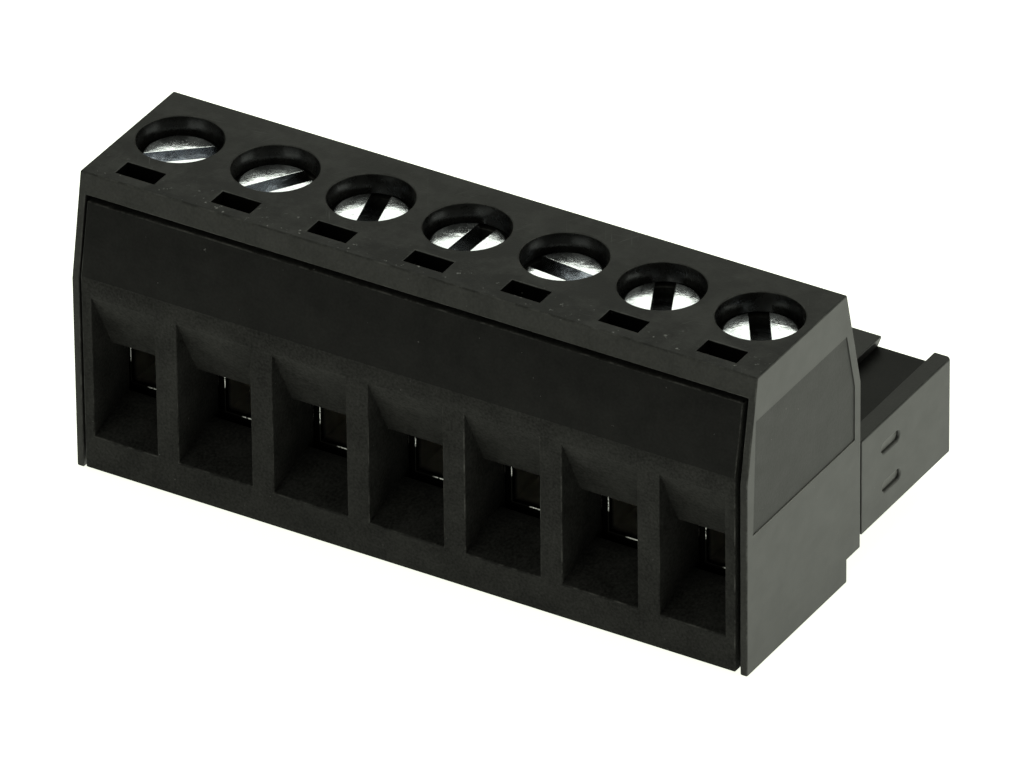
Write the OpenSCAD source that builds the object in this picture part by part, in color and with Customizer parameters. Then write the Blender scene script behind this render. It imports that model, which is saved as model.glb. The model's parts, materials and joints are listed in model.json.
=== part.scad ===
// Pluggable screw terminal block, cable half: a moulded housing with a plug nose, a moulded
// wire entry insert, and one clamp per pole made of a slotted screw, a rising cage and a contact.
// Millimetres. X runs along the row of poles, Y from the wire side to the plug nose, Z up.
// The origin is under the middle of the whole part, on the surface that it stands on.

/* [Row] */
// Number of poles in the row
poles = 7; // [2:1:12]
// Distance from one pole to the next
pitch = 5.08; // [5:0.02:7.62]
// How much shorter the row is than its poles together, so that rows stand side by side
row_slack = 0.07; // [0:0.01:0.2]

/* [Clamp cage] */
// Outer width of a clamp cage
cage_w = 3.7; // [3.4:0.05:3.8]
// Depth of a clamp cage from front to rear
cage_d = 4.8; // [4.4:0.1:5.2]
// Thickness of the side walls of a cage
cage_side = 0.42; // [0.3:0.02:0.5]
// Thickness of the cage floor that presses on the wire
cage_floor_t = 0.8; // [0.6:0.05:1.2]
// Thickness of the threaded top wall of a cage
nut_t = 2; // [1.5:0.1:2.4]
// Height left for the wire in an open clamp
wire_gap = 2.55; // [2:0.05:3]
// Height left in a closed clamp with no wire in it
closed_gap = 0.15; // [0.1:0.05:0.4]

/* [Screw] */
// Diameter of the thread
thread_d = 2.5; // [2:0.1:2.6]
// Diameter of the screw head
head_d = 3.6; // [3.2:0.02:3.7]
// Height of the screw head
head_h = 1.45; // [1.3:0.05:2]
// Depth of the top of the head under the top face
head_drop = 0.85; // [0.3:0.05:1.2]
// Width of the driver slot
slot_w = 0.95; // [0.6:0.05:1.1]
// Depth of the driver slot
slot_depth = 0.85; // [0.5:0.05:1]

/* [Contact] */
// Thickness of the contact strip
contact_t = 0.8; // [0.6:0.05:1]
// Height of the fork that takes the pin
fork_h = 1.6; // [1.2:0.1:2]
// Thickness of a fork arm
arm_t = 0.5; // [0.4:0.05:0.6]
// Side of the square pin that the fork takes
pin_w = 1; // [0.8:0.05:1.1]
// How far each fork arm is pushed out by the pin
pin_grip = 0.15; // [0.05:0.05:0.25]

/* [Housing] */
// Thickness of the top wall
top_wall = 1.1; // [0.9:0.05:1.3]
// Diameter of the screwdriver holes
driver_hole_d = 4.08; // [3.8:0.02:4.2]
// Thickness of the rear wall behind the contacts
rear_wall = 1.32; // [1:0.02:1.8]
// Height at which the front and rear faces start to lean inwards
lean_start = 10.1; // [9.8:0.1:11]
// How far the front face leans inwards at the top
front_lean = 0.95; // [0.6:0.05:1.1]
// How far the rear face leans inwards at the top
rear_lean = 1.27; // [0.6:0.01:1.35]
// Height of the notch under the rear edge
notch_h = 1.2; // [0.9:0.02:1.5]
// Depth of the notch under the rear edge
notch_d = 1.22; // [0.8:0.02:1.4]
// Width of a test probe slot
probe_w = 2.05; // [1.5:0.05:2.4]
// Length of a test probe slot from front to rear
probe_l = 1.05; // [0.7:0.05:1.2]
// Distance from the screw line to the middle of a test probe slot
probe_reach = 3.4; // [3.3:0.05:3.6]
// Margin in front of the lower half of the shallow panel in each end face, and behind all of it
panel_margin = 0.55; // [0.3:0.05:2]
// Margin in front of the upper corner of the shallow panel
panel_tip = 0.25; // [0.2:0.05:1]
// Height of the shallow panel in each end face
panel_h = 5.9; // [4.2:0.1:7]
// Height of the middle of the shallow panel
panel_z = 10.2; // [9:0.1:10.8]
// Depth of the shallow panel
panel_depth = 0.05; // [0.04:0.01:0.2]

/* [Plug nose] */
// Length of the nose behind the housing
nose_l = 8.85; // [6:0.05:10]
// Size of the sloped edges over and under the nose's end
nose_lead = 0.12; // [0.06:0.02:0.4]
// Size of the sloped corners beside the nose's end
nose_corner = 0.25; // [0.1:0.05:0.4]
// Height of the nose's underside over the surface
nose_z = 1.53; // [1.5:0.01:1.8]
// How far the nose stands in from each end face
nose_inset = 0.2; // [0.1:0.05:0.4]
// Width of the groove at the root of the nose on each end
root_w = 0.45; // [0.3:0.05:0.8]
// Depth of the groove at the root of the nose
root_depth = 0.15; // [0.05:0.05:0.3]
// Thickness of the nose under its contact chambers
nose_floor_t = 0.82; // [0.6:0.02:1]
// Height of a contact chamber
chamber_h = 2.8; // [2.4:0.1:3.2]
// Width of a contact chamber
chamber_w = 3; // [2.8:0.1:3.4]
// Thickness of the nose over its contact chambers
nose_roof_t = 0.75; // [0.5:0.05:1]
// Thickness of the nose's end wall, where the pins come in
nose_end_t = 0.8; // [0.6:0.05:1.2]
// Width of the mouth of a key groove on top of the nose
key_w = 2.72; // [2:0.04:3]
// Depth of a key groove
key_depth = 0.65; // [0.4:0.05:0.9]
// How far a key groove widens under each of its edges
key_undercut = 0.24; // [0.1:0.02:0.4]
// Width of a pin opening
pin_mouth_w = 1.7; // [1.5:0.1:2]
// How far a pin opening widens outwards at its lead-in
pin_lead = 0.4; // [0.2:0.05:0.5]
// Length of the latch dimples in the ends of the nose
dimple_l = 1.6; // [0.8:0.1:2]
// Width of the latch dimples
dimple_w = 0.5; // [0.3:0.05:0.7]
// Depth of the latch dimples
dimple_depth = 0.15; // [0.05:0.01:0.2]

/* [Wire entry insert] */
// Depth from the housing's front edge to the cages
entry_d = 3; // [2.9:0.05:3.6]
// How far the insert's face stands before the housing's front edge
insert_proud = 0.11; // [0:0.01:0.2]
// How far the insert's face would lean inwards over the height of the housing's lean
insert_lean = 1.05; // [0.7:0.05:1.2]
// Gap around the insert at the ends
insert_side_gap = 0.18; // [0.1:0.02:0.3]
// Gap over the insert
insert_top_gap = 0.18; // [0.1:0.02:0.3]
// Height of the insert's underside over the surface
insert_foot = 0.15; // [0.05:0.05:0.3]
// How far the crease in the insert's face lies over the housing's own
crease_rise = 0.36; // [0.1:0.02:0.6]
// Height of the floor under the cages
floor_z = 2.25; // [2.1:0.05:2.6]
// Height of the lower edge of a wire window
window_z = 1.95; // [1.6:0.05:2.3]
// Height of the top edge of a wire window
window_top = 9.48; // [8.6:0.02:9.6]
// Height of the sill that lifts the wire onto the cage floor
sill_z = 2.8; // [2.7:0.05:2.9]
// Height of the ceiling of the wire passage
ceiling_z = 6.1; // [5.6:0.1:6.6]
// Length of the level part of the wire passage in front of the cage
throat_l = 1.4; // [1:0.05:1.6]
// Width of the insert's face left beside the end windows
end_strip = 0.52; // [0.2:0.02:0.6]
// Diameter of the seat around a screw head
seat_d = 4; // [3.8:0.02:4.1]
// Thickness of the ledge that carries a screw head
ledge_t = 1.2; // [0.8:0.1:1.4]
// Room over a fully raised cage
headroom = 0.8; // [0.3:0.05:1]
// Size of the snap ridge that holds the insert in the housing
snap = 0.2; // [0.1:0.05:0.3]

/* [Clearances] */
// Clearance at each side of a cage
cage_clear = 0.11; // [0.08:0.01:0.2]
// Clearance from the last cage to the end wall
end_clear = 0.275; // [0.15:0.005:0.3]
// Clearance in front of a cage
front_clear = 0.15; // [0.1:0.05:0.25]
// Clearance behind a cage
rear_clear = 0.2; // [0.15:0.05:0.3]
// Clearance under and over the contact tongue and under a lowered cage
lift_clear = 0.1; // [0.08:0.01:0.15]
// Clearance at each side of the contact tongue in its cage
tongue_clear = 0.15; // [0.1:0.01:0.25]
// Clearance around a contact in its slot in the rear wall
contact_fit = 0.05; // [0.03:0.01:0.1]
// Clearance under a screw head and under its tip
screw_clear = 0.05; // [0.03:0.01:0.1]
// Clearance around the thread in its cage
thread_fit = 0.05; // [0.03:0.01:0.1]
// Clearance around the thread in the insert
shank_clear = 0.2; // [0.1:0.05:0.3]
// Gap between the insert and the rear wall
insert_rear_gap = 0.1; // [0.05:0.01:0.15]

/* [Hidden] */
$fn = 64;
// Overlap of a cut past the face that it opens
over = 1;
plastic_colour = "#2d2d2b";
steel_colour = "#c9cbcc";
cage_colour = "#b4b5b2";
contact_colour = "#c2bda9";

// Slot direction of each screw from left to right, in degrees from the row
slot_turns = [40, 57, 105, 88, 172, 115, 123];

// Row and end walls
body_l = poles * pitch - row_slack;
end_wall = (pitch - row_slack - cage_w) / 2 - end_clear;
inner_half = body_l / 2 - end_wall;
insert_half = inner_half - insert_side_gap;
chamber_x = cage_w + 2 * cage_clear;

// Front to rear, measured from the screw line
cage_front = -cage_d / 2;
cage_rear = cage_d / 2;
bay_front = cage_front - front_clear;
rear_inner = cage_rear + rear_clear;
slot_rear = rear_inner + contact_t;
body_front = bay_front - entry_d;
body_rear = slot_rear + rear_wall;
nose_rear = body_rear + nose_l;
insert_front = body_front - insert_proud;
insert_rear = rear_inner - insert_rear_gap;
foot_rear = body_rear - notch_d;
probe_front = -probe_reach - probe_l / 2;
screw_y = -(insert_front + nose_rear) / 2;

// Heights, from the surface up
cage_z = floor_z + lift_clear;
cage_floor_top = cage_z + cage_floor_t;
tongue_z = cage_floor_top + wire_gap;
tongue_top = tongue_z + contact_t;
nut_z = tongue_top + lift_clear;
nut_top = nut_z + nut_t;
cage_travel = wire_gap - closed_gap;
bay_top = nut_top + cage_travel + headroom;
seat_z = bay_top + ledge_t;
head_z = seat_z + screw_clear;
head_top = head_z + head_h;
body_h = head_top + head_drop;
ceiling_in = body_h - top_wall;
insert_top = ceiling_in - insert_top_gap;
crease_z = lean_start + crease_rise;
screw_tip = tongue_top + screw_clear;
probe_floor = nut_z + nut_t / 2;
snap_z = notch_h / 2;

// Plug nose
nose_half = body_l / 2 - nose_inset;
chamber_z = nose_z + nose_floor_t;
chamber_top = chamber_z + chamber_h;
key_z = chamber_top + nose_roof_t;
nose_top = key_z + key_depth;
pin_z = chamber_z + chamber_h / 2;
chamber_rear = nose_rear - nose_end_t;

// Contact
tongue_w = cage_w - 2 * cage_side - 2 * tongue_clear;
fork_z = pin_z - fork_h / 2;
fork_root = slot_rear + contact_t;
grip_l = 1.3;
grip_y = chamber_rear - grip_l - contact_fit;
grip_half = pin_w / 2 - pin_grip;
tip_flare = 0.35;

// Screw
shank_r = thread_d / 2 - thread_fit;
head_chamfer = 0.15;
tip_chamfer = 0.3;

// Latch dimples: place along the nose from the housing, and height over the nose's underside
dimple_places = [[3.1, 3.55], [3.2, 1.43]];

// Place of pole i along the row, counted from 1
function pole_x(i) = (i - (poles + 1) / 2) * pitch;

// Points of an outline that leans inwards from a height, at a given higher height
function leaned(from_y, lean, z, start) = from_y + lean * (z - start) / (body_h - lean_start);

// Moves what is drawn from the screw line to the part's own frame
module on_screw_line() {
    translate([0, screw_y, 0]) children();
}

// Draws the children once at each pole
module each_pole() {
    for (i = [1:poles]) translate([pole_x(i), 0, 0]) children();
}

// Extrudes an outline of (y, z) points along the row, centred
module along_row(length) {
    rotate([90, 0, 90]) linear_extrude(length, center = true) children();
}

// Extrudes an outline of (x, z) points from one y to another
module front_to_rear(from_y, to_y) {
    translate([0, to_y, 0]) rotate([90, 0, 0]) linear_extrude(to_y - from_y) children();
}

// A block centred on x, from one corner in (y, z) to the other
module block(width, from, to) {
    translate([-width / 2, from[0], from[1]]) cube([width, to[0] - from[0], to[1] - from[1]]);
}

// Outside of the housing seen from its end
module housing_outline() {
    polygon([
        [body_front, 0],
        [body_front, lean_start],
        [body_front + front_lean, body_h],
        [body_rear - rear_lean, body_h],
        [body_rear, lean_start],
        [body_rear, notch_h],
        [foot_rear, notch_h],
        [foot_rear, 0],
    ]);
}

// Space inside the housing that takes the insert, with its snap groove
module insert_space_outline() {
    polygon([
        [body_front - over, -over],
        [body_front - over, ceiling_in],
        [rear_inner, ceiling_in],
        [rear_inner, snap_z + snap],
        [rear_inner + snap, snap_z],
        [rear_inner, snap_z - snap],
        [rear_inner, -over],
    ]);
}

// The insert seen from its end, with its snap ridge
module insert_outline() {
    ridge = rear_inner + snap - insert_rear_gap;
    polygon([
        [insert_front, insert_foot],
        [insert_front, crease_z],
        [leaned(insert_front, insert_lean, insert_top, crease_z), insert_top],
        [insert_rear, insert_top],
        [insert_rear, snap_z + snap],
        [ridge, snap_z],
        [insert_rear, snap_z - snap],
        [insert_rear, insert_foot],
    ]);
}

// Wire passage seen from the end: a tall window that narrows to the cage
module passage_outline() {
    throat = bay_front - throat_l;
    slope = (window_top - ceiling_z) / (insert_front - throat);
    polygon([
        [insert_front - over, window_z],
        [insert_front, window_z],
        [bay_front - throat_l / 2, sill_z],
        [bay_front + front_clear / 2, sill_z],
        [bay_front + front_clear / 2, ceiling_z],
        [throat, ceiling_z],
        [insert_front, window_top],
        [insert_front - over, window_top - slope * over],
    ]);
}

// Key groove across the top of the nose, seen from the rear
module key_outline() {
    half = key_w / 2;
    polygon([
        [-half - key_undercut, key_z],
        [half + key_undercut, key_z],
        [half, nose_top],
        [half, nose_top + over],
        [-half, nose_top + over],
        [-half, nose_top],
    ]);
}

// Half of a pin opening's section, from its straight mouth to its wide lead-in
module pin_mouth_outline() {
    half = pin_mouth_w / 2;
    wide = half + pin_lead;
    polygon([
        [-half, chamber_rear - over],
        [half, chamber_rear - over],
        [half, nose_rear - pin_lead],
        [wide, nose_rear],
        [wide, nose_rear + over],
        [-wide, nose_rear + over],
        [-wide, nose_rear],
        [-half, nose_rear - pin_lead],
    ]);
}

// Square opening with a lead-in on all four sides
module pin_mouth() {
    deep = 2 * (pin_mouth_w + 2 * pin_lead);
    translate([0, 0, pin_z]) intersection() {
        linear_extrude(deep, center = true) pin_mouth_outline();
        rotate([0, 90, 0]) linear_extrude(deep, center = true) pin_mouth_outline();
    }
}

// Oblong cut for a latch dimple, from its floor outwards
module latch_dimple() {
    reach = (dimple_l - dimple_w) / 2;
    rotate([90, 0, 90]) linear_extrude(dimple_depth + over) {
        translate([-reach, 0]) circle(d = dimple_w);
        translate([reach, 0]) circle(d = dimple_w);
        square([2 * reach, dimple_w], center = true);
    }
}

// The nose seen from its end, with sloped edges that find the way into the header
module nose_outline() {
    polygon([
        [slot_rear, nose_z],
        [slot_rear, nose_top],
        [nose_rear - nose_lead, nose_top],
        [nose_rear, nose_top - nose_lead],
        [nose_rear, nose_z + nose_lead],
        [nose_rear - nose_lead, nose_z],
    ]);
}

// The nose in plan, with sloped corners beside its end
module nose_plan() {
    polygon([
        [-nose_half, slot_rear],
        [nose_half, slot_rear],
        [nose_half, nose_rear - nose_corner],
        [nose_half - nose_corner, nose_rear],
        [nose_corner - nose_half, nose_rear],
        [-nose_half, nose_rear - nose_corner],
    ]);
}

// Nose block with its key grooves, and with root grooves and latch dimples in its ends
module nose() {
    difference() {
        intersection() {
            along_row(2 * nose_half + over) nose_outline();
            linear_extrude(nose_top + over) nose_plan();
        }
        each_pole() front_to_rear(body_rear, nose_rear + over) key_outline();
        for (side = [0, 1]) mirror([side, 0, 0]) {
            translate([nose_half - root_depth, body_rear, nose_z - over])
                cube([root_depth + over, root_w, nose_top - nose_z + 2 * over]);
            for (place = dimple_places)
                translate([nose_half - dimple_depth, body_rear + place[0], nose_z + place[1]]) latch_dimple();
        }
    }
}

// Shallow panel seen from the end: its rear side follows the end face
module panel_outline() {
    front = body_front + panel_margin;
    rear = body_rear - panel_margin;
    low = panel_z - panel_h / 2;
    high = panel_z + panel_h / 2;
    polygon([
        [front, low],
        [leaned(body_front, front_lean, high, lean_start) + panel_tip, high],
        [leaned(rear, -rear_lean, high, lean_start), high],
        [rear, lean_start],
        [rear, low],
    ]);
}

// Shallow panel in both end faces
module end_panels() {
    for (side = [-1, 1]) translate([side * body_l / 2, 0, 0]) along_row(2 * panel_depth) panel_outline();
}

// One moulding: top, ends, rear wall and plug nose
module housing() {
    color(plastic_colour) on_screw_line() difference() {
        union() {
            along_row(body_l) housing_outline();
            nose();
        }
        along_row(2 * inner_half) insert_space_outline();
        end_panels();
        each_pole() {
            translate([0, 0, ceiling_in - over]) cylinder(d = driver_hole_d, h = top_wall + 2 * over);
            block(probe_w, [probe_front, ceiling_in - over], [probe_front + probe_l, body_h + over]);
            block(tongue_w + 2 * contact_fit, [rear_inner - over, chamber_z],
                [slot_rear, tongue_top + contact_fit]);
            block(chamber_w, [rear_inner - over, chamber_z], [chamber_rear, chamber_top]);
            pin_mouth();
        }
    }
}

// Cuts a wire passage, kept clear of the strip at each end of the insert
module passage(i) {
    limit = insert_half - end_strip;
    left = max(pole_x(i) - chamber_x / 2, -limit);
    right = min(pole_x(i) + chamber_x / 2, limit);
    translate([(left + right) / 2, 0, 0]) along_row(right - left) passage_outline();
}

// One moulding: front face, wire funnels, partitions, floor and screw seats
module wire_entry_insert() {
    color(plastic_colour) on_screw_line() difference() {
        along_row(2 * insert_half) insert_outline();
        for (i = [1:poles]) passage(i);
        each_pole() {
            block(chamber_x, [bay_front, floor_z], [insert_rear + over, bay_top]);
            translate([0, 0, bay_top - over])
                cylinder(r = shank_r + shank_clear, h = ledge_t + 2 * over);
            translate([0, 0, seat_z]) cylinder(d = seat_d, h = insert_top - seat_z + over);
            block(probe_w, [probe_front, probe_floor], [probe_front + probe_l, insert_top + over]);
            block(probe_w, [probe_front, probe_floor], [bay_front + front_clear / 2, nut_top]);
        }
    }
}

// Slotted cheese head screw, standing over its contact tongue
module clamp_screw(i) {
    head_r = head_d / 2;
    turn = slot_turns[(i - 1) % len(slot_turns)];
    color(steel_colour) on_screw_line() translate([pole_x(i), 0, 0]) difference() {
        rotate_extrude() polygon([
            [0, screw_tip],
            [shank_r - tip_chamfer, screw_tip],
            [shank_r, screw_tip + tip_chamfer],
            [shank_r, head_z],
            [head_r, head_z],
            [head_r, head_top - head_chamfer],
            [head_r - head_chamfer, head_top],
            [0, head_top],
        ]);
        rotate(turn) translate([-head_d, -slot_w / 2, head_top - slot_depth])
            cube([2 * head_d, slot_w, slot_depth + over]);
    }
}

// Square cage with a threaded top wall, in its lowest place
module clamp_cage(i) {
    color(cage_colour) on_screw_line() translate([pole_x(i), 0, 0]) difference() {
        block(cage_w, [cage_front, cage_z], [cage_rear, nut_top]);
        block(cage_w - 2 * cage_side, [cage_front - over, cage_floor_top], [cage_rear + over, nut_z]);
        translate([0, 0, nut_z - over]) cylinder(d = thread_d, h = nut_t + 2 * over);
    }
}

// One arm of the fork in plan, with its grip point and flared tip
module fork_arm_outline() {
    root_half = tongue_w / 2;
    tip_half = grip_half + tip_flare;
    polygon([
        [root_half - arm_t, fork_root - contact_t / 2],
        [root_half, fork_root - contact_t / 2],
        [grip_half + arm_t, grip_y],
        [tip_half + arm_t, grip_y + grip_l],
        [tip_half, grip_y + grip_l],
        [grip_half, grip_y],
        [root_half - arm_t, fork_root],
    ]);
}

// Bent strip: a tongue through the cage, a web down its rear slot, and a fork in the nose
module socket_contact(i) {
    color(contact_colour) on_screw_line() translate([pole_x(i), 0, 0]) {
        block(tongue_w, [cage_front, tongue_z], [slot_rear, tongue_top]);
        block(tongue_w, [rear_inner, fork_z], [slot_rear, tongue_top]);
        translate([0, 0, fork_z]) linear_extrude(fork_h) {
            translate([-tongue_w / 2, rear_inner]) square([tongue_w, fork_root - rear_inner]);
            fork_arm_outline();
            mirror([1, 0]) fork_arm_outline();
        }
    }
}

housing();
wire_entry_insert();
for (i = [1:poles]) {
    clamp_screw(i);
    clamp_cage(i);
    socket_contact(i);
}
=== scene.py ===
"""Looks of the pluggable terminal block: rounded mouldings, threaded screws, materials, light and camera."""
import json
import math

import bmesh
import bpy
from mathutils import Matrix, Vector


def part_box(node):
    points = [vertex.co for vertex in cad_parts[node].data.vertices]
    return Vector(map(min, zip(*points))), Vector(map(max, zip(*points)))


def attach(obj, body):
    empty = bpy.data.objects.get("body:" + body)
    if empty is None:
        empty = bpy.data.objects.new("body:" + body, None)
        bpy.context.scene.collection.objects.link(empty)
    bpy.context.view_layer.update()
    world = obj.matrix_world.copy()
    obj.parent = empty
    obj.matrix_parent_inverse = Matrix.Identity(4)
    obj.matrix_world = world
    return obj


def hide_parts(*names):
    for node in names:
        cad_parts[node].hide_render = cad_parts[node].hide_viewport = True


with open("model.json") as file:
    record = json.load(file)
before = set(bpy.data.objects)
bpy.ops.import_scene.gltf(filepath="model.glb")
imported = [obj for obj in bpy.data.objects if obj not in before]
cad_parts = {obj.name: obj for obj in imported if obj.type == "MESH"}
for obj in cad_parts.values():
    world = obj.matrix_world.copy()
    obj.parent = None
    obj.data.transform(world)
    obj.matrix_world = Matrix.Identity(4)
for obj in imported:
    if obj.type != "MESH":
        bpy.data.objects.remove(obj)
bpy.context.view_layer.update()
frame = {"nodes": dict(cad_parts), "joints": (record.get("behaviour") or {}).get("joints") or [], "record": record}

# Shapes are built in millimetres and scaled to metres at the end
MM = 0.001

# Read from the frame
POLES = [n.split("_")[-1] for n in frame["nodes"] if n.startswith("clamp_screw_")]
JOINT = {j["name"]: j for j in frame["joints"]}
AXES = [Vector(JOINT[f"screw_{i}_turn"]["pos_m"][:2]) / MM for i in POLES]
SCREW_Y = AXES[0].y
PITCH = AXES[1].x - AXES[0].x
THREAD_PITCH = 2 * math.pi / frame["record"]["behaviour"]["couplings"][0]["ratio"] / MM
LOW, HIGH = [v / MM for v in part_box("housing")]

# Edges sharper than this are rounded, and points nearer than this are one
SHARP = math.radians(35)
NEAR = 0.002

# Widest rounding of the edges of each kind of piece
HOUSING_ROUND = 0.08
INSERT_ROUND = 0.07
CAGE_ROUND = 0.06
CONTACT_ROUND = 0.05
SLOT_ROUND = 0.05
DIMPLE_ROUND = 0.12

# Farthest points of the round holes from their screw line, in the mouldings and in the metal
HOLE_REACH = 2.2
NUT_REACH = 1.6

# Where the surfaces of the mouldings change
TOP_WALL = 1.3
LIP_DEPTH = 1.3
PANEL_FOOT = 7
NOSE_LANDS = 6.2
NOSE_END = HIGH.x - 0.2
DIMPLES_Y = (HIGH.y - 7, HIGH.y - 4)
DIMPLES_Z = (2, 6)
SILL_TOP = 3
PROBE_FOOT = 8

# Thickness of a cage's floor
CAGE_FLOOR = 0.8

# Most of a noise texture's values lie in this range
USUAL = (0.3, 0.7)

# Zinc where it is light, dark and stained
ZINC = ((0.86, 0.875, 0.92), (0.7, 0.73, 0.78), (0.34, 0.36, 0.39))

# Colour of the studio light
TINT = (0.957, 1, 0.87, 1)


# Shader building

class Shader:
    """A new material with a Principled shader, and short calls that add nodes to it."""

    def __init__(self, name):
        self.material = bpy.data.materials.new(name)
        self.material.use_nodes = True
        self.nodes = self.material.node_tree.nodes
        self.links = self.material.node_tree.links
        self.main = self.nodes["Principled BSDF"]
        coords = self.nodes.new("ShaderNodeTexCoord")
        scale = self.nodes.new("ShaderNodeMapping")
        scale.inputs["Scale"].default_value = (1 / MM, 1 / MM, 1 / MM)
        self.links.new(coords.outputs["Object"], scale.inputs["Vector"])
        self.place = scale.outputs["Vector"]

    def put(self, socket, value):
        """Sets a socket to a value, or links it to another node's output."""
        if isinstance(value, bpy.types.NodeSocket):
            self.links.new(value, socket)
        else:
            socket.default_value = value

    def set(self, **values):
        """Sets or links inputs of the Principled shader, named with _ for a space."""
        for key, value in values.items():
            self.put(self.main.inputs[key.replace("_", " ")], value)

    def noise(self, scale, detail=3, rough=0.55, stretch=None):
        """Noise with features of about 1 / scale millimetres."""
        node = self.nodes.new("ShaderNodeTexNoise")
        node.inputs["Scale"].default_value = scale
        node.inputs["Detail"].default_value = detail
        node.inputs["Roughness"].default_value = rough
        self.put(node.inputs["Vector"], self.stretched(stretch) if stretch else self.place)
        return node.outputs["Fac"]

    def stretched(self, factors, turn=0.0):
        """Surface points turned about Z and then scaled along each axis."""
        turned = self.nodes.new("ShaderNodeMapping")
        turned.inputs["Rotation"].default_value = (0, 0, turn)
        self.put(turned.inputs["Vector"], self.place)
        node = self.nodes.new("ShaderNodeMapping")
        node.inputs["Scale"].default_value = factors
        self.put(node.inputs["Vector"], turned.outputs["Vector"])
        return node.outputs["Vector"]

    def scratches(self):
        """Thin lines in three directions, gathered in patches."""
        total = 0.0
        for turn, scale in ((0.5, 1.0), (1.4, 1.3), (2.6, 0.8)):
            node = self.nodes.new("ShaderNodeTexNoise")
            node.inputs["Scale"].default_value = scale
            node.inputs["Detail"].default_value = 1
            self.put(node.inputs["Vector"], self.stretched((9, 0.35, 0.35), turn))
            total = self.math("ADD", total, self.span(node.outputs["Fac"], 0.7, 0.76))
        return self.math("MULTIPLY", total, self.span(self.noise(0.45), 0.5, 0.62))

    def span(self, value, low, high, to_low=0.0, to_high=1.0):
        """Maps low..high to to_low..to_high, clamped."""
        node = self.nodes.new("ShaderNodeMapRange")
        self.put(node.inputs["Value"], value)
        node.inputs["From Min"].default_value = low
        node.inputs["From Max"].default_value = high
        node.inputs["To Min"].default_value = to_low
        node.inputs["To Max"].default_value = to_high
        return node.outputs["Result"]

    def math(self, kind, *values):
        node = self.nodes.new("ShaderNodeMath")
        node.operation = kind
        for socket, value in zip(node.inputs, values):
            self.put(socket, value)
        return node.outputs["Value"]

    def mix(self, factor, a, b):
        """Mixes two colours."""
        node = self.nodes.new("ShaderNodeMix")
        node.data_type = "RGBA"
        self.put(node.inputs[0], factor)
        self.put(node.inputs[6], a)
        self.put(node.inputs[7], b)
        return node.outputs[2]

    def tinted(self, base, colour, where, amount):
        """Base colour with another colour over it, where and as much as the last two say."""
        return self.mix(self.math("MULTIPLY", where, amount), base, colour)

    def axis(self, name):
        """One coordinate of the surface point, in millimetres."""
        node = self.nodes.new("ShaderNodeSeparateXYZ")
        self.put(node.inputs["Vector"], self.place)
        return node.outputs[name]

    def wear(self):
        """How much a point lies on a rounded edge: the mask for edge wear and painted glints."""
        node = self.nodes.new("ShaderNodeAttribute")
        node.attribute_name = "rounded_edge_mask"
        return node.outputs["Fac"]

    def bump(self, height, depth, strength=1.0, under=None):
        """Normals of a height field that is depth millimetres deep, over other normals."""
        node = self.nodes.new("ShaderNodeBump")
        node.inputs["Distance"].default_value = depth * MM
        node.inputs["Strength"].default_value = strength
        self.put(node.inputs["Height"], height)
        if under:
            self.put(node.inputs["Normal"], under)
        return node.outputs["Normal"]


# Materials

def grey(v, warm=0.06):
    """A neutral tone that is a little warm."""
    return (v, v * (1 - warm * 0.2), v * (1 - warm), 1)


def paler_to_rear(s, base, tone, amount):
    """Base colour that pales from the lip towards the rear."""
    far = s.span(s.axis("Y"), SCREW_Y - 4, SCREW_Y + 3)
    return s.tinted(base, grey(tone * 4), far, amount)


def scuffed(s, base, amount):
    """Base colour with smudges, pale flecks near the lip, and scratches."""
    smudges = s.span(s.noise(0.5, 6, 0.7), 0.44, 0.64)
    base = s.tinted(base, grey(0.04), smudges, amount)
    near_lip = s.span(s.axis("Y"), SCREW_Y - 2.4, SCREW_Y - 4.2)
    flecks = s.math("MULTIPLY", s.span(s.noise(2.6, 5, 0.7), 0.62, 0.69), near_lip)
    base = s.tinted(base, grey(0.4, 0.03), flecks, amount)
    return s.tinted(base, grey(0.06, 0.03), s.scratches(), amount)


def nylon(name, tone, rough, specular, grain, scuffs=0.0, rear_paleness=0.0, uneven=0.2):
    """Black moulded nylon: mottled, finely grained, pale specks, edges paled by wear and painted highlight, plus
    scuffs and a paler rear if asked.
    """
    s = Shader(name)
    mottle = s.noise(0.7, 5, 0.6)
    fine = s.noise(7.5, 2)
    flow = s.noise(0.9, stretch=(0.25, 1.0, 1.6))
    specks = s.span(s.noise(4.5, 2, 0.5), 0.765, 0.79)
    # Pale patches on the rounded edges: rubbed wear, and a painted highlight where the edges catch light
    rubbed = s.math("MULTIPLY", s.wear(), s.span(s.noise(1.1, 4, 0.7), 0.45, 0.7))
    shade = s.math("ADD", s.span(mottle, *USUAL, -uneven, uneven),
                   s.span(fine, *USUAL, -0.4 * grain, 0.4 * grain))
    base = s.mix(s.span(shade, -1, 1), grey(0), grey(tone * 2))
    base = s.tinted(base, grey(0.22, 0.03), specks, 0.3)
    if rear_paleness:
        base = paler_to_rear(s, base, tone, rear_paleness)
    if scuffs:
        base = scuffed(s, base, scuffs)
    base = s.tinted(base, grey(0.16), rubbed, 0.35)
    roughness = s.math("ADD", s.span(mottle, *USUAL, rough - 0.03, rough + 0.03),
                       s.span(flow, 0.4, 0.6, -0.01, 0.01))
    normal = s.bump(mottle, 0.02, 0.08, under=s.bump(fine, 0.012, grain))
    s.set(Base_Color=base, Roughness=roughness, Normal=normal, Specular_IOR_Level=specular)
    return s.material


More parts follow.
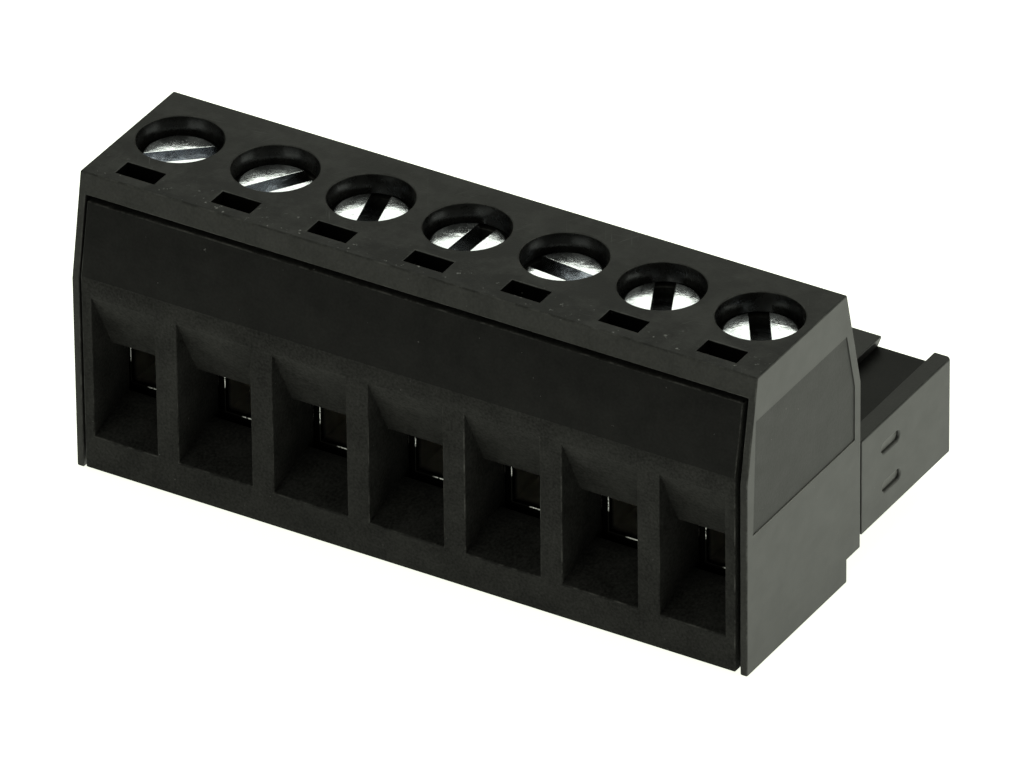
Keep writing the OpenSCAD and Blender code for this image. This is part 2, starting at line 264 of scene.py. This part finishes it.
def bore_nylon(name, tone):
    """Nylon smoothed by a core pin: glossy, with soft streaks along the bore, drag marks and partly a painted
    reflection.
    """
    s = Shader(name)
    streak = s.noise(0.9, 2, 0.5, stretch=(1.0, 1.0, 0.1))
    mottle = s.noise(2.2)
    base = s.mix(s.span(streak, 0.35, 0.7), grey(tone * 0.4), grey(tone * 1.6))
    normal = s.bump(streak, 0.03, 0.2, under=s.bump(mottle, 0.006, 0.3))
    roughness = s.span(mottle, *USUAL, 0.22, 0.34)
    s.set(Base_Color=base, Roughness=roughness, Normal=normal, Specular_IOR_Level=0.42)
    return s.material


def zinc(name, shade, rough):
    """Bright zinc with faint blotches, stains and small dents; shade under 1 darkens it, as painted shade in the
    driver slot.
    """
    s = Shader(name)
    light, dark, stained = ([c * shade for c in tone] + [1] for tone in ZINC)
    blotch = s.noise(1.4, 4, 0.6)
    fine = s.noise(14, 2)
    base = s.mix(s.span(blotch, 0.35, 0.7), light, dark)
    base = s.tinted(base, stained, s.span(s.noise(2.6), 0.62, 0.7), 0.5)
    roughness = s.span(blotch, *USUAL, rough - 0.06, rough + 0.06)
    normal = s.bump(fine, 0.002, 0.12, under=s.bump(blotch, 0.06, 0.45))
    s.set(Base_Color=base, Metallic=1.0, Roughness=roughness, Normal=normal)
    return s.material


def rubbed_edges(s, base):
    """Base colour with all edges rubbed bright."""
    return s.mix(s.wear(), base, grey(0.8, 0.04))


def painted_cage_glints_and_shade(s, base):
    """Cage base colour: painted shade on the mouth, with painted glints high on its sides and on its floor."""
    across = s.math("WRAP", s.axis("X"), PITCH / 2, -PITCH / 2)
    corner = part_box("clamp_cage_1")[0] / MM
    floor = corner.z + CAGE_FLOOR
    uneven = s.math("ADD", s.axis("Z"), s.span(s.noise(0.3, 1), *USUAL, -0.3, 0.3))
    sides = s.span(uneven, floor + 1.1, floor + 1.3)
    low = s.span(s.axis("Z"), floor + 0.1, floor + 0.2, 1.0, 0.0)
    middle = s.math("MULTIPLY", s.span(across, -0.6, -0.4), low)
    dashes = s.span(s.noise(12, 2), 0.4, 0.46)
    # Painted glints on the rounded edges, high on the sides and on the right of the floor, broken into dashes
    glint_mask = s.math("MULTIPLY", s.math("MAXIMUM", sides, middle), s.math("MULTIPLY", dashes, s.wear()))
    # The mouth is painted near black as shade, and pale where the glints are painted
    painted_mouth = s.mix(glint_mask, grey(0.006), grey(0.95, 0.03))
    # Only the front rim of the cage gets the painted mouth; farther back it keeps the plate's colour
    return s.mix(s.span(s.axis("Y"), corner.y + 0.2, corner.y + 0.5), painted_mouth, base)


def plated(name, light, dark, rough, wear_and_glints):
    """Plated strip: drawn lines, stains, pits, and edges coloured by the last argument: wear on contacts, painted
    glints on cages.
    """
    s = Shader(name)
    lines = s.noise(6, stretch=(1.0, 0.06, 1.0))
    stain = s.noise(0.8, 4, 0.6)
    pits = s.noise(9, 2)
    base = s.mix(s.span(stain, 0.35, 0.7), light, dark)
    roughness = s.span(lines, *USUAL, rough - 0.06, rough + 0.1)
    normal = s.bump(pits, 0.004, 0.4, under=s.bump(lines, 0.008, 0.4))
    s.set(Base_Color=wear_and_glints(s, base), Metallic=1.0, Roughness=roughness, Normal=normal)
    return s.material


# Shapes taken from the CAD nodes

def copy_in_mm(node):
    """A copy of a CAD node's mesh in millimetres, with the triangles of flat faces joined."""
    bm = bmesh.new()
    bm.from_mesh(frame["nodes"][node].data)
    bmesh.ops.scale(bm, vec=(1 / MM,) * 3, verts=bm.verts)
    bmesh.ops.remove_doubles(bm, verts=bm.verts, dist=NEAR)
    bmesh.ops.dissolve_limit(bm, angle_limit=math.radians(1), verts=bm.verts, edges=bm.edges)
    return bm


def from_axis(co):
    """Distance to the nearest screw line."""
    return min((co.xy - a).length for a in AXES)


def is_chord(e, reach):
    """Whether an edge is a short level chord of a circle about a screw line."""
    a, b = (v.co for v in e.verts)
    level = abs(a.z - b.z) < NEAR and e.calc_length() < 1
    return level and from_axis(a) < reach and abs(from_axis(a) - from_axis(b)) < 2 * NEAR


def round_holes(bm, reach, cuts=4):
    """Splits the short chords around each screw line and puts the new points on the true circle."""
    rims = [e for e in bm.edges if is_chord(e, reach)]
    radii = sorted({round(from_axis(v.co), 3) for e in rims for v in e.verts})
    got = bmesh.ops.subdivide_edges(bm, edges=rims, cuts=cuts, use_grid_fill=True)
    for v in (g for g in got["geom_inner"] if isinstance(g, bmesh.types.BMVert)):
        axis = min(AXES, key=lambda a: (v.co.xy - a).length)
        out = v.co.xy - axis
        radius = next((r for r in radii if r >= out.length - NEAR), None)
        if radius and radius - out.length < 0.05:
            v.co.xy = axis + out * (radius / out.length)


def room_beside(e):
    """Width of the narrower of an edge's two faces, measured square to the edge."""
    start = e.verts[0].co
    along = (e.verts[1].co - start).normalized()
    widths = []
    for f in e.link_faces:
        offsets = [(v.co - start) - along * (v.co - start).dot(along) for v in f.verts]
        widths.append(max(o.length for o in offsets))
    return min(widths)


def edge_kind(e, widest, domed):
    """0 for an edge that stays, 1 to 3 by the room beside an outer edge, 4 for a domed rim."""
    if len(e.link_faces) != 2 or not e.is_convex or e.calc_face_angle() <= SHARP:
        return 0
    if domed and domed(e):
        return 4
    room = room_beside(e)
    return 1 if room > 3 * widest else 2 if room > 1.2 * widest else 3


def round_edges(bm, widest, domed=None):
    """Rounds sharp outer edges, each as far as its faces leave room, and marks them for edge wear and painted
    glints.
    """
    kind = bm.edges.layers.int.new("kind")
    for e in bm.edges:
        e[kind] = edge_kind(e, widest, domed)
    faces = set()
    for step, width in enumerate((widest, widest / 2, widest / 4, DIMPLE_ROUND), 1):
        edges = [e for e in bm.edges if e[kind] == step]
        got = bmesh.ops.bevel(bm, geom=edges, offset=width, offset_type="OFFSET", segments=3, profile=0.5,
                              affect="EDGES", clamp_overlap=False, loop_slide=False)
        faces = {f for f in faces if f.is_valid} | set(got["faces"])
        for e in (e for f in got["faces"] for e in f.edges):
            e[kind] = 0
    mark_rounded_edges(bm, faces)


def mark_rounded_edges(bm, faces):
    """Marks the points that lie inside the rounded edges, for the shader."""
    layer = bm.verts.layers.float.new("rounded_edge_mask")
    for v in bm.verts:
        v[layer] = 1.0 if v.link_faces and all(f in faces for f in v.link_faces) else 0.0


def scratch_object(bm, name):
    """A new object with a mesh as it is."""
    mesh = bpy.data.meshes.new(name)
    bm.to_mesh(mesh)
    bm.free()
    obj = bpy.data.objects.new(name, mesh)
    bpy.context.collection.objects.link(obj)
    return obj


def to_object(bm, name, materials, body):
    """Makes an object in metres from a mesh in millimetres, smooth but for its sharp edges."""
    for f in bm.faces:
        f.smooth = True
    for e in bm.edges:
        e.smooth = not (len(e.link_faces) == 2 and e.calc_face_angle() > SHARP)
    bmesh.ops.scale(bm, vec=(MM,) * 3, verts=bm.verts)
    obj = scratch_object(bm, name)
    for m in materials:
        obj.data.materials.append(m)
    normals = obj.modifiers.new("normals", "WEIGHTED_NORMAL")
    normals.keep_sharp = True
    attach(obj, body)
    return obj


def stand_for(obj, node):
    """Hides a CAD node so that an object made to replace it shows instead; the object argument is not used."""
    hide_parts(node)


def dress_moulding(node, surfaces, widest, zone, domed=None):
    """A moulding with true round holes and rounded edges; zone names the surface of each face."""
    bm = copy_in_mm(node)
    round_holes(bm, HOLE_REACH)
    round_edges(bm, widest, domed)
    order = list(surfaces)
    for f in bm.faces:
        f.material_index = order.index(zone(f))
    stand_for(to_object(bm, node + "_look", surfaces.values(), "housing"), node)


def dress_metal(node, material, widest, body):
    """A cage or contact with its burrs rounded off."""
    bm = copy_in_mm(node)
    round_holes(bm, NUT_REACH)
    round_edges(bm, widest)
    stand_for(to_object(bm, node + "_look", [material], body), node)


# Screws

def screw_sizes(node, axis):
    """Radii, heights and slot of a CAD screw, read from its points, in millimetres."""
    points = [Vector(v.co) / MM for v in frame["nodes"][node].data.vertices]
    top = max(p.z for p in points)
    tip = min(p.z for p in points)
    reach = [((p.xy - axis).length, p) for p in points]
    head_r = max(r for r, p in reach)
    head_z = min(p.z for r, p in reach if r > head_r - 0.01)
    shank_r = max(r for r, p in reach if p.z < head_z - 0.01)
    inner = [p.z for r, p in reach if head_z + 0.05 < p.z < top - 0.3]
    floor = max(z for z in inner if sum(abs(z - o) < NEAR for o in inner) >= 4)
    ends = [p.xy - axis for r, p in reach if abs(p.z - floor) < NEAR]
    along = 0.5 * math.atan2(2 * sum(p.x * p.y for p in ends), sum(p.x ** 2 - p.y ** 2 for p in ends))
    across = [p.y * math.cos(along) - p.x * math.sin(along) for p in ends]
    return {"top": top, "tip": tip, "head_r": head_r, "head_z": head_z, "shank_r": shank_r,
            "floor": floor, "slot_w": max(across) - min(across), "along": along}


def lathe(bm, rows, around, radius_at):
    """Rings of points about the Z axis, one per row, closed at both ends."""
    rings = []
    for k, z in enumerate(rows):
        ring = []
        for j in range(around):
            t = 2 * math.pi * j / around
            r = radius_at(k, z, t)
            ring.append(bm.verts.new((r * math.cos(t), r * math.sin(t), z)))
        rings.append(ring)
    for a, b in zip(rings, rings[1:]):
        for j in range(around):
            bm.faces.new((a[j], a[(j + 1) % around], b[(j + 1) % around], b[j]))
    bm.faces.new(list(reversed(rings[0])))
    bm.faces.new(rings[-1])


def thread_mesh(s):
    """The threaded shank: a V groove that winds up from the tip and runs out under the head."""
    bm = bmesh.new()
    rows_per_turn, around = 8, 40
    depth = 0.6 * THREAD_PITCH
    point_length, point_depth, run_out_length = 0.5, 0.32, 0.6
    full = s["shank_r"] - 0.01
    low, high = s["tip"], s["head_z"] + 0.1
    count = int((high - low) / THREAD_PITCH * rows_per_turn)
    rows = [low + (high - low) * k / count for k in range(count + 1)]

    def radius(k, z, t):
        turn = (z / THREAD_PITCH - t / (2 * math.pi)) % 1
        crest = min(1, max(0, 1.25 - abs(2 * turn - 1) * 1.5))
        point = min(1, (z - low) / point_length)
        run_out = min(1, max(0, (s["head_z"] - z) / run_out_length))
        return min(full - depth * (1 - crest) * run_out, full - point_depth * (1 - point))

    lathe(bm, rows, around, radius)
    return bm


def head_profile(s):
    """Radius and height up the side of the head, with rounded rims."""
    r, low, high = s["head_r"], s["head_z"], s["top"]
    under, over = 0.12, 0.14
    rows = []
    for k in range(5):
        t = math.pi / 2 * k / 4
        rows.append((r - under + under * math.sin(t), low + under - under * math.cos(t)))
    for k in range(7):
        t = math.pi / 2 * k / 6
        rows.append((r - over + over * math.cos(t), high - over + over * math.sin(t)))
    return rows


def slot_cutter(s):
    """A block that fills the driver slot and stands out over it."""
    bm = bmesh.new()
    bmesh.ops.create_cube(bm, size=1)
    deep = s["top"] - s["floor"]
    turn = Matrix.Rotation(s["along"], 4, "Z")
    shape = Matrix.Diagonal((4 * s["head_r"], s["slot_w"], 2 * deep, 1))
    bm.transform(Matrix.Translation((0, 0, s["top"])) @ turn @ shape)
    return scratch_object(bm, "cutter")


def cut_head(s):
    """The head with its driver slot cut across."""
    rows = head_profile(s)
    bm = bmesh.new()
    lathe(bm, [z for r, z in rows], 72, lambda k, z, t: rows[k][0])
    head = scratch_object(bm, "head")
    cutter = slot_cutter(s)
    cut = head.modifiers.new("slot", "BOOLEAN")
    cut.object = cutter
    cut.solver = "EXACT"
    bpy.context.view_layer.update()
    cut_mesh = bpy.data.meshes.new_from_object(head.evaluated_get(bpy.context.evaluated_depsgraph_get()))
    bpy.data.objects.remove(head)
    bpy.data.objects.remove(cutter)
    bm = bmesh.new()
    bm.from_mesh(cut_mesh)
    bmesh.ops.remove_doubles(bm, verts=bm.verts, dist=NEAR / 2)
    return bm


def slotted_head(s):
    """The head with the rims of its slot rounded, and the second material inside the slot."""
    bm = cut_head(s)
    round_edges(bm, SLOT_ROUND)
    side = Vector((-math.sin(s["along"]), math.cos(s["along"]), 0))
    for f in bm.faces:
        middle = f.calc_center_median()
        f.material_index = int(abs(middle.dot(side)) < s["slot_w"] / 2 + 0.005 and middle.z < s["top"] - 0.06)
    return bm


def build_screw(i, axis, materials):
    """A screw with its slotted head and its thread, on its own body."""
    node = f"clamp_screw_{i}"
    s = screw_sizes(node, axis)
    bm = slotted_head(s)
    shank = scratch_object(thread_mesh(s), "shank")
    bm.from_mesh(shank.data)
    bpy.data.objects.remove(shank)
    bmesh.ops.translate(bm, vec=(axis.x, axis.y, 0), verts=bm.verts)
    stand_for(to_object(bm, node + "_look", materials, f"screw_{i}"), node)


# Surfaces of the mouldings

def at_dimples(point):
    """Whether a point lies at the height and the length along the nose of the latch dimples."""
    return DIMPLES_Y[0] < point.y < DIMPLES_Y[1] and DIMPLES_Z[0] < point.z < DIMPLES_Z[1]


def on_dimple(e):
    """Whether an edge is part of the rim of a latch dimple in an end of the nose."""
    a, b = (v.co for v in e.verts)
    middle = (a + b) / 2
    return abs(a.x - b.x) < 0.01 and abs(abs(middle.x) - NOSE_END) < 0.05 and at_dimples(middle)


def in_dimple(point):
    """Whether a point lies in a latch dimple, under the face of the nose's end."""
    return NOSE_END - 0.2 < abs(point.x) < NOSE_END - 0.015 and at_dimples(point)


def on_panel_rim(point):
    """Whether a point lies on the rim of the sunk panel in an end face."""
    beside = abs(point.x) > HIGH.x - 0.06
    return beside and PANEL_FOOT < point.z < HIGH.z - 1.5 and LOW.y + 0.3 < point.y < SCREW_Y + 4.4


def on_panel(point):
    """Whether a point lies on the floor of the sunk panel in an end face."""
    return HIGH.x - 0.15 < abs(point.x) < HIGH.x - 0.04 and point.z > PANEL_FOOT


def housing_zone(f):
    """Name of the surface that a face of the housing belongs to; several surfaces carry painted light or shade in
    their tone.
    """
    middle = f.calc_center_median()
    up = f.normal.z
    by_hole = from_axis(middle) < HOLE_REACH
    # Upward faces of the sunk panel's rim lie in shadow and get painted light
    if up > 0.2 and on_panel_rim(middle):
        return "panel rim"
    # Dimple walls that do not face the front get painted light; the others stay body
    if in_dimple(middle):
        return "dimple" if f.normal.y > -0.2 else "body"
    # The sloping middle of each hole's rounded rim gets a paler band: rubbed wear and a painted highlight
    if 0.5 < up < 0.9 and by_hole and middle.z > HIGH.z - 0.1:
        return "hole rim"
    if up < 0.5 and middle.z > HIGH.z - TOP_WALL:
        if by_hole:
            return "bore"
        # Probe slots get a near-black tone: painted shade in the deep slots
        if LOW.y + LIP_DEPTH < middle.y < SCREW_Y - HOLE_REACH:
            return "probe slot"
    # Upward faces: the top gets painted shade, the nose lands painted light, the key grooves painted shade
    if up > 0.9:
        return "top" if middle.z > HIGH.z - 1 else "nose land" if middle.z > NOSE_LANDS else "key groove"
    # Front faces of the lip get a lighter tone: painted light
    if f.normal.y < -0.5 and middle.y < LOW.y + LIP_DEPTH:
        return "lip"
    return "panel" if abs(f.normal.x) > 0.99 and on_panel(middle) else "body"


def housing_surfaces():
    """Materials of the housing by the names of its surfaces."""
    return {
        "body": nylon("black_nylon", tone=0.012, rough=0.5, specular=0.68, grain=0.15),
        # Top faces: a darker tone than the body, painted shade, under scuffs and a paler rear
        "top": nylon("black_nylon_top_painted_shade", tone=0.005, rough=0.55, specular=0.2, grain=0.45,
                     scuffs=0.6, rear_paleness=0.9, uneven=0.6),
        "panel": nylon("black_nylon_panel", tone=0.012, rough=0.6, specular=0.46, grain=0.6),
        # Front faces of the lip: a lighter tone than the body, painted light
        "lip": nylon("black_nylon_lip_painted_light", tone=0.028, rough=0.6, specular=0.12, grain=0.45),
        "bore": bore_nylon("black_nylon_bore", tone=0.014),
        # Probe slots: near black with almost no reflection, painted shade in the deep slots
        "probe slot": nylon("black_nylon_slot_painted_shade", tone=0.003, rough=0.6, specular=0.02, grain=0.3),
        # Nose lands lighter and key grooves darker than the body: painted light and painted shade
        "nose land": nylon("black_nylon_land_painted_light", tone=0.018, rough=0.5, specular=0.24, grain=0.35),
        "key groove": nylon("black_nylon_groove_painted_shade", tone=0.0095, rough=0.55, specular=0.13, grain=0.35),
        # Rim of the sunk panel, which lies in shadow: a much lighter tone, painted light
        "panel rim": nylon("black_nylon_panel_rim_painted_light", tone=0.16, rough=0.6, specular=0.3, grain=0.35),
        # Dimple walls that do not face the front: a lighter tone, painted light
        "dimple": nylon("black_nylon_dimple_painted_light", tone=0.07, rough=0.5, specular=0.6, grain=0.3),
        # Sloping middle of the driver holes' rims: a paler band, rubbed wear and a painted highlight
        "hole rim": nylon("black_nylon_hole_rim_wear_and_highlight", tone=0.035, rough=0.5, specular=0.4, grain=0.3),
    }


def insert_zone(f):
    """Name of the surface that a face of the insert belongs to."""
    middle = f.calc_center_median()
    if f.normal.y < -0.9 and f.normal.z > 0.1:
        return "leaning panel"
    # Upward window floors get a lighter tone: painted light
    if f.normal.z > 0.8 and middle.z < SILL_TOP:
        return "window sill"
    in_slot = middle.z > PROBE_FOOT and SCREW_Y - 4.1 < middle.y < SCREW_Y - 2.7
    return "probe slot" if in_slot else "grained"


def insert_surfaces(slot):
    """Materials of the insert by the names of its surfaces; the probe slots go on from the housing's."""
    return {
        "grained": nylon("grained_nylon", tone=0.017, rough=0.6, specular=0.04, grain=0.9, uneven=0.3),
        "leaning panel": nylon("smooth_nylon", tone=0.0075, rough=0.45, specular=0.05, grain=0.4, uneven=0.3),
        # The probe slots take the housing's painted shade
        "probe slot": slot,
        # Upward floors of the wire windows: a lighter tone than the grained faces, painted light
        "window sill": nylon("sill_nylon_painted_light", tone=0.024, rough=0.6, specular=0.04, grain=0.9, uneven=0.3),
    }


# Stage

def floor_material():
    """Pale paper that glows a little, so that it stays white around the part."""
    s = Shader("pale_floor")
    base = s.mix(s.noise(0.02), (0.86, 0.86, 0.86, 1), (0.9, 0.9, 0.9, 1))
    s.set(Base_Color=base, Roughness=0.9, Emission_Color=TINT, Emission_Strength=1.0, Specular_IOR_Level=0.0)
    return s.material


def make_floor():
    """A wide floor just under the part."""
    bm = bmesh.new()
    bmesh.ops.create_grid(bm, x_segments=1, y_segments=1, size=6)
    bmesh.ops.translate(bm, vec=(0, 0, -0.02 * MM), verts=bm.verts)
    floor = scratch_object(bm, "floor")
    floor.data.materials.append(floor_material())


def softbox(name, toward, distance, size, power):
    """A soft light that looks at the part from a direction, with its sizes in metres."""
    light = bpy.data.lights.new(name, "AREA")
    light.shape = "RECTANGLE"
    light.size, light.size_y = size
    light.energy = power
    light.color = TINT[:3]
    obj = bpy.data.objects.new(name, light)
    bpy.context.collection.objects.link(obj)
    direction = Vector(toward).normalized()
    obj.location = direction * distance
    obj.rotation_euler = direction.to_track_quat("Z", "Y").to_euler()


def make_light():
    """Even studio light: the flat screw heads mirror the sky box, and the others light the sides."""
    world = bpy.data.worlds.new("studio")
    bpy.context.scene.world = world
    world.use_nodes = True
    back = world.node_tree.nodes["Background"]
    back.inputs["Color"].default_value = TINT
    back.inputs["Strength"].default_value = 0.15
    softbox("sky", toward=(-0.44, 0.72, 0.53), distance=0.5, size=(0.15, 0.15), power=0.1)
    softbox("above", toward=(-0.24, 0.4, 0.88), distance=0.6, size=(0.45, 0.45), power=1.3)
    softbox("side", toward=(0.9, 0.3, 0.5), distance=0.5, size=(0.3, 0.3), power=0.3)
    softbox("front", toward=(-0.2, -0.9, 0.7), distance=0.6, size=(0.4, 0.3), power=0.4)
    bpy.context.scene.view_settings.view_transform = "Standard"


def make_camera():
    """The photograph's view: direction, distance and a long lens."""
    azimuth, elevation, roll = (math.radians(a) for a in (31.054, 32.247, -0.603))
    target = Vector((1.77, -3.155, 7.07)) * MM
    distance = 683.31 * MM
    flat = math.cos(elevation)
    toward = Vector((math.sin(azimuth) * flat, -math.cos(azimuth) * flat, math.sin(elevation)))
    camera = bpy.data.cameras.new("camera")
    camera.sensor_width = 36
    camera.lens = 529.48
    obj = bpy.data.objects.new("camera", camera)
    bpy.context.collection.objects.link(obj)
    turn = toward.to_track_quat("Z", "Y").to_matrix().to_4x4() @ Matrix.Rotation(roll, 4, "Z")
    obj.matrix_world = Matrix.Translation(target + toward * distance) @ turn
    bpy.context.scene.camera = obj


def build():
    """Dresses every CAD node."""
    housing = housing_surfaces()
    insert = insert_surfaces(housing["probe slot"])
    steel = [zinc("bright_zinc", shade=1.0, rough=0.17), zinc("shaded_zinc", shade=0.85, rough=0.14)]
    # The cage's nickel is darker than bright nickel: painted shade for the dark inside of the wire windows
    cage = plated("nickel_plate", (0.4, 0.39, 0.37, 1), (0.3, 0.29, 0.27, 1), 0.34, painted_cage_glints_and_shade)
    contact = plated("tin_plate", (0.75, 0.73, 0.68, 1), (0.6, 0.57, 0.5, 1), 0.3, rubbed_edges)
    dress_moulding("housing", housing, HOUSING_ROUND, housing_zone, on_dimple)
    dress_moulding("wire_entry_insert", insert, INSERT_ROUND, insert_zone)
    for i, axis in zip(POLES, AXES):
        build_screw(i, axis, steel)
        dress_metal(f"clamp_cage_{i}", cage, CAGE_ROUND, f"cage_{i}")
        dress_metal(f"socket_contact_{i}", contact, CONTACT_ROUND, "housing")


make_camera()
make_light()
make_floor()
build()
